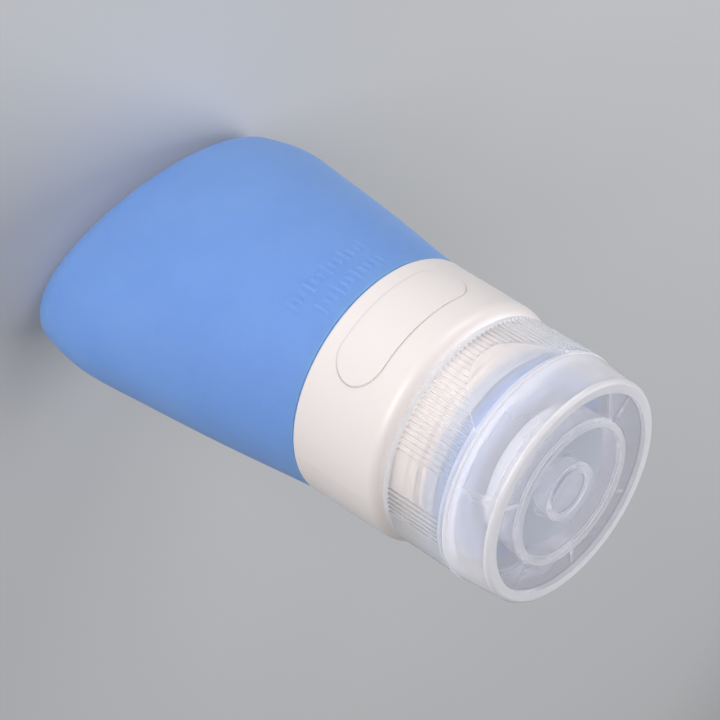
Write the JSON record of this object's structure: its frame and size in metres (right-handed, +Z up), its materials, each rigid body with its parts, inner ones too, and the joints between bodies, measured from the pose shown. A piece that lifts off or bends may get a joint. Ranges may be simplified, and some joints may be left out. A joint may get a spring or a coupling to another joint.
{
  "type": "travel squeeze bottle",
  "caption": "Small squeeze bottle with a soft tapered silicone body, turning collar with a window, ribbed screw cap with drip valve, and a hinged flip lid.",
  "frame": {"origin": "centre of the flat land under the base, on the bottle's axis", "axes": "+Z up along the bottle's axis out of its mouth; X along the wide way of the base; -Y to the front, where the window, the thumb scoop and the lid's catch are, and +Y to the lid hinge"},
  "size_m": [0.0492, 0.0381, 0.0825],
  "materials": {
    "blue_silicone": "soft matt silicone, slightly see-through",
    "neck_plastic": "moulded white polypropylene",
    "white_gloss": "polished white plastic",
    "white_window": "polished white plastic",
    "clear_polypropylene": "milky clear moulded polypropylene",
    "clear_silicone": "milky clear silicone"
  },
  "bodies": {
    "bottle": {"squeeze_body": "blue_silicone", "threaded_neck": "neck_plastic", "label_sleeve": "neck_plastic"},
    "collar_ring": {"collar": "white_gloss", "collar_window": "white_window"},
    "valve": {"drip_valve": "clear_silicone"},
    "cap": {"screw_cap": "clear_polypropylene", "valve_retainer": "clear_polypropylene"},
    "lid": {"flip_lid": "clear_polypropylene"}
  },
  "joints": [
    {"name": "collar_turn", "type": "hinge", "parent": "bottle", "child": "collar_ring", "pos_m": [0, 0, 0.0565], "axis": [0, 0, 1], "continuous": true},
    {"name": "cap_lift", "type": "slide", "parent": "bottle", "child": "valve", "axis": [0, 0, 1], "range_m": [0, 0.0068]},
    {"name": "cap_turn", "type": "hinge", "parent": "valve", "child": "cap", "pos_m": [0, 0, 0.0715], "axis": [0, 0, 1], "range_deg": [0, 810]},
    {"name": "lid_hinge", "type": "hinge", "parent": "cap", "child": "lid", "pos_m": [0, 0.0186, 0.07515], "axis": [-1, 0, 0], "range_deg": [0, 135]}
  ],
  "couplings": [
    {"joint": "cap_lift", "follows": "cap_turn", "m_per_rad": 0.00047746}
  ]
}
